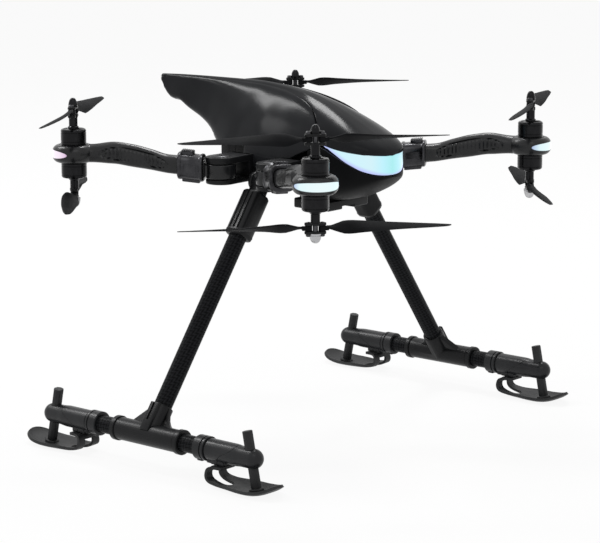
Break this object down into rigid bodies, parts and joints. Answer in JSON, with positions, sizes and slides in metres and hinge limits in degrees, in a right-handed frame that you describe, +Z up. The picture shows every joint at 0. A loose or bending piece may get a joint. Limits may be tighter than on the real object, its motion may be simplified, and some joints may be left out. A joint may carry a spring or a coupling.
{
  "type": "folding coaxial camera quadcopter",
  "caption": "Folding camera quadcopter with coaxial rotors at the arm ends, finned hull, light bands and tall retracting legs on sprung skis.",
  "frame": {"origin": "on the ground under the middle of the airframe", "axes": "+Z up, the nose points to -Y, the left-hand side of the craft is +X; the feet stand on z = 0"},
  "size_m": [0.5027, 0.4407, 0.3125],
  "materials": {
    "gloss_shell": "near-black satin gloss moulding",
    "satin_shell": "near-black fine-grained moulding",
    "carbon_tube": "woven carbon fibre under clear resin",
    "motor_bell": "black anodised, turned",
    "blade_plastic": "dark grey glass-filled nylon",
    "ice_lens": "lit diffusing lens, icy blue white",
    "rose_lens": "lit diffusing lens, pinkish white"
  },
  "bodies": {
    "airframe": {"chassis": "satin_shell", "top_canopy": "gloss_shell", "fin_shell": "gloss_shell", "nose_light": "ice_lens", "belly_hull": "satin_shell", "avionics": "satin_shell", "payload_mount": "satin_shell"},
    "battery": {"battery": "satin_shell"},
    "arm_front_right": {"arm_front_right": "gloss_shell", "pod_light_front_right": "ice_lens"},
    "sleeve_front_right": {"lock_sleeve_front_right": "satin_shell"},
    "rotor_upper_front_right": {"rotor_upper_front_right": "motor_bell"},
    "blade_upper_front_right_a": {"blade_upper_front_right_a": "blade_plastic"},
    "blade_upper_front_right_b": {"blade_upper_front_right_b": "blade_plastic"},
    "rotor_lower_front_right": {"rotor_lower_front_right": "motor_bell"},
    "blade_lower_front_right_a": {"blade_lower_front_right_a": "blade_plastic"},
    "blade_lower_front_right_b": {"blade_lower_front_right_b": "blade_plastic"},
    "arm_front_left": {"arm_front_left": "gloss_shell", "pod_light_front_left": "ice_lens"},
    "sleeve_front_left": {"lock_sleeve_front_left": "satin_shell"},
    "rotor_upper_front_left": {"rotor_upper_front_left": "motor_bell"},
    "blade_upper_front_left_a": {"blade_upper_front_left_a": "blade_plastic"},
    "blade_upper_front_left_b": {"blade_upper_front_left_b": "blade_plastic"},
    "rotor_lower_front_left": {"rotor_lower_front_left": "motor_bell"},
    "blade_lower_front_left_a": {"blade_lower_front_left_a": "blade_plastic"},
    "blade_lower_front_left_b": {"blade_lower_front_left_b": "blade_plastic"},
    "arm_rear_right": {"arm_rear_right": "gloss_shell", "pod_light_rear_right": "rose_lens"},
    "sleeve_rear_right": {"lock_sleeve_rear_right": "satin_shell"},
    "rotor_upper_rear_right": {"rotor_upper_rear_right": "motor_bell"},
    "blade_upper_rear_right_a": {"blade_upper_rear_right_a": "blade_plastic"},
    "blade_upper_rear_right_b": {"blade_upper_rear_right_b": "blade_plastic"},
    "rotor_lower_rear_right": {"rotor_lower_rear_right": "motor_bell"},
    "blade_lower_rear_right_a": {"blade_lower_rear_right_a": "blade_plastic"},
    "blade_lower_rear_right_b": {"blade_lower_rear_right_b": "blade_plastic"},
    "arm_rear_left": {"arm_rear_left": "gloss_shell", "pod_light_rear_left": "rose_lens"},
    "sleeve_rear_left": {"lock_sleeve_rear_left": "satin_shell"},
    "rotor_upper_rear_left": {"rotor_upper_rear_left": "motor_bell"},
    "blade_upper_rear_left_a": {"blade_upper_rear_left_a": "blade_plastic"},
    "blade_upper_rear_left_b": {"blade_upper_rear_left_b": "blade_plastic"},
    "rotor_lower_rear_left": {"rotor_lower_rear_left": "motor_bell"},
    "blade_lower_rear_left_a": {"blade_lower_rear_left_a": "blade_plastic"},
    "blade_lower_rear_left_b": {"blade_lower_rear_left_b": "blade_plastic"},
    "leg_right": {"leg_socket_right": "satin_shell", "leg_tube_right": "carbon_tube", "skid_tee_right": "satin_shell", "skid_tube_right": "carbon_tube", "foot_clamp_front_right": "satin_shell", "ski_front_right": "satin_shell", "foot_clamp_rear_right": "satin_shell", "ski_rear_right": "satin_shell"},
    "leg_left": {"leg_socket_left": "satin_shell", "leg_tube_left": "carbon_tube", "skid_tee_left": "satin_shell", "skid_tube_left": "carbon_tube", "foot_clamp_front_left": "satin_shell", "ski_front_left": "satin_shell", "foot_clamp_rear_left": "satin_shell", "ski_rear_left": "satin_shell"}
  },
  "joints": [
    {"name": "battery_slide", "type": "slide", "parent": "airframe", "child": "battery", "axis": [0, 1, 0], "range_m": [0, 0.11]},
    {"name": "arm_fold_front_right", "type": "hinge", "parent": "airframe", "child": "arm_front_right", "pos_m": [-0.0792, -0.0299, 0.241], "axis": [0, 0, 1], "range_deg": [0, 33]},
    {"name": "sleeve_slide_front_right", "type": "slide", "parent": "arm_front_right", "child": "sleeve_front_right", "axis": [-0.5419, -0.8345, 0.0995], "range_m": [0, 0.006]},
    {"name": "spin_upper_front_right", "type": "hinge", "parent": "arm_front_right", "child": "rotor_upper_front_right", "pos_m": [-0.1518, -0.14169, 0.2909], "axis": [0, 0, 1], "continuous": true},
    {"name": "fold_upper_front_right_a", "type": "hinge", "parent": "rotor_upper_front_right", "child": "blade_upper_front_right_a", "pos_m": [-0.14725, -0.14513, 0.2909], "axis": [0, 0, 1], "range_deg": [0, 80]},
    {"name": "fold_upper_front_right_b", "type": "hinge", "parent": "rotor_upper_front_right", "child": "blade_upper_front_right_b", "pos_m": [-0.15635, -0.13826, 0.2909], "axis": [0, 0, -1], "range_deg": [0, 80]},
    {"name": "spin_lower_front_right", "type": "hinge", "parent": "arm_front_right", "child": "rotor_lower_front_right", "pos_m": [-0.1518, -0.14169, 0.2174], "axis": [0, 0, 1], "continuous": true},
    {"name": "fold_lower_front_right_a", "type": "hinge", "parent": "rotor_lower_front_right", "child": "blade_lower_front_right_a", "pos_m": [-0.1475, -0.14543, 0.2174], "axis": [0, 0, 1], "range_deg": [0, 80]},
    {"name": "fold_lower_front_right_b", "type": "hinge", "parent": "rotor_lower_front_right", "child": "blade_lower_front_right_b", "pos_m": [-0.1561, -0.13795, 0.2174], "axis": [0, 0, -1], "range_deg": [0, 80]},
    {"name": "arm_fold_front_left", "type": "hinge", "parent": "airframe", "child": "arm_front_left", "pos_m": [0.0792, -0.0299, 0.241], "axis": [0, 0, -1], "range_deg": [0, 33]},
    {"name": "sleeve_slide_front_left", "type": "slide", "parent": "arm_front_left", "child": "sleeve_front_left", "axis": [0.5419, -0.8345, 0.0995], "range_m": [0, 0.006]},
    {"name": "spin_upper_front_left", "type": "hinge", "parent": "arm_front_left", "child": "rotor_upper_front_left", "pos_m": [0.1518, -0.14169, 0.2909], "axis": [0, 0, 1], "continuous": true},
    {"name": "fold_upper_front_left_a", "type": "hinge", "parent": "rotor_upper_front_left", "child": "blade_upper_front_left_a", "pos_m": [0.15688, -0.13911, 0.2909], "axis": [0, 0, 1], "range_deg": [0, 80]},
    {"name": "fold_upper_front_left_b", "type": "hinge", "parent": "rotor_upper_front_left", "child": "blade_upper_front_left_b", "pos_m": [0.14672, -0.14428, 0.2909], "axis": [0, 0, -1], "range_deg": [0, 80]},
    {"name": "spin_lower_front_left", "type": "hinge", "parent": "arm_front_left", "child": "rotor_lower_front_left", "pos_m": [0.1518, -0.14169, 0.2174], "axis": [0, 0, 1], "continuous": true},
    {"name": "fold_lower_front_left_a", "type": "hinge", "parent": "rotor_lower_front_left", "child": "blade_lower_front_left_a", "pos_m": [0.1559, -0.13773, 0.2174], "axis": [0, 0, 1], "range_deg": [0, 80]},
    {"name": "fold_lower_front_left_b", "type": "hinge", "parent": "rotor_lower_front_left", "child": "blade_lower_front_left_b", "pos_m": [0.1477, -0.14565, 0.2174], "axis": [0, 0, -1], "range_deg": [0, 80]},
    {"name": "arm_fold_rear_right", "type": "hinge", "parent": "airframe", "child": "arm_rear_right", "pos_m": [-0.0792, 0.0299, 0.241], "axis": [0, 0, -1], "range_deg": [0, 25]},
    {"name": "sleeve_slide_rear_right", "type": "slide", "parent": "arm_rear_right", "child": "sleeve_rear_right", "axis": [-0.5419, 0.8345, 0.0995], "range_m": [0, 0.006]},
    {"name": "spin_upper_rear_right", "type": "hinge", "parent": "arm_rear_right", "child": "rotor_upper_rear_right", "pos_m": [-0.1518, 0.14169, 0.2909], "axis": [0, 0, 1], "continuous": true},
    {"name": "fold_upper_rear_right_a", "type": "hinge", "parent": "rotor_upper_rear_right", "child": "blade_upper_rear_right_a", "pos_m": [-0.147, 0.14477, 0.2909], "axis": [0, 0, 1], "range_deg": [0, 80]},
    {"name": "fold_upper_rear_right_b", "type": "hinge", "parent": "rotor_upper_rear_right", "child": "blade_upper_rear_right_b", "pos_m": [-0.1566, 0.13862, 0.2909], "axis": [0, 0, -1], "range_deg": [0, 80]},
    {"name": "spin_lower_rear_right", "type": "hinge", "parent": "arm_rear_right", "child": "rotor_lower_rear_right", "pos_m": [-0.1518, 0.14169, 0.2174], "axis": [0, 0, 1], "continuous": true},
    {"name": "fold_lower_rear_right_a", "type": "hinge", "parent": "rotor_lower_rear_right", "child": "blade_lower_rear_right_a", "pos_m": [-0.14756, 0.14551, 0.2174], "axis": [0, 0, 1], "range_deg": [0, 80]},
    {"name": "fold_lower_rear_right_b", "type": "hinge", "parent": "rotor_lower_rear_right", "child": "blade_lower_rear_right_b", "pos_m": [-0.15604, 0.13788, 0.2174], "axis": [0, 0, -1], "range_deg": [0, 80]},
    {"name": "arm_fold_rear_left", "type": "hinge", "parent": "airframe", "child": "arm_rear_left", "pos_m": [0.0792, 0.0299, 0.241], "axis": [0, 0, 1], "range_deg": [0, 25]},
    {"name": "sleeve_slide_rear_left", "type": "slide", "parent": "arm_rear_left", "child": "sleeve_rear_left", "axis": [0.5419, 0.8345, 0.0995], "range_m": [0, 0.006]},
    {"name": "spin_upper_rear_left", "type": "hinge", "parent": "arm_rear_left", "child": "rotor_upper_rear_left", "pos_m": [0.1518, 0.14169, 0.2909], "axis": [0, 0, 1], "continuous": true},
    {"name": "fold_upper_rear_left_a", "type": "hinge", "parent": "rotor_upper_rear_left", "child": "blade_upper_rear_left_a", "pos_m": [0.15604, 0.13788, 0.2909], "axis": [0, 0, 1], "range_deg": [0, 80]},
    {"name": "fold_upper_rear_left_b", "type": "hinge", "parent": "rotor_upper_rear_left", "child": "blade_upper_rear_left_b", "pos_m": [0.14756, 0.14551, 0.2909], "axis": [0, 0, -1], "range_deg": [0, 80]},
    {"name": "spin_lower_rear_left", "type": "hinge", "parent": "arm_rear_left", "child": "rotor_lower_rear_left", "pos_m": [0.1518, 0.14169, 0.2174], "axis": [0, 0, 1], "continuous": true},
    {"name": "fold_lower_rear_left_a", "type": "hinge", "parent": "rotor_lower_rear_left", "child": "blade_lower_rear_left_a", "pos_m": [0.15629, 0.13819, 0.2174], "axis": [0, 0, 1], "range_deg": [0, 80]},
    {"name": "fold_lower_rear_left_b", "type": "hinge", "parent": "rotor_lower_rear_left", "child": "blade_lower_rear_left_b", "pos_m": [0.14731, 0.1452, 0.2174], "axis": [0, 0, -1], "range_deg": [0, 80]},
    {"name": "leg_retract_right", "type": "hinge", "parent": "airframe", "child": "leg_right", "pos_m": [-0.06, -0.002, 0.231], "axis": [0, 1, 0], "range_deg": [0, 45]},
    {"name": "leg_retract_left", "type": "hinge", "parent": "airframe", "child": "leg_left", "pos_m": [0.06, -0.002, 0.231], "axis": [0, -1, 0], "range_deg": [0, 45]}
  ],
  "couplings": [
    {"joint": "leg_retract_left", "follows": "leg_retract_right", "ratio": 1}
  ]
}
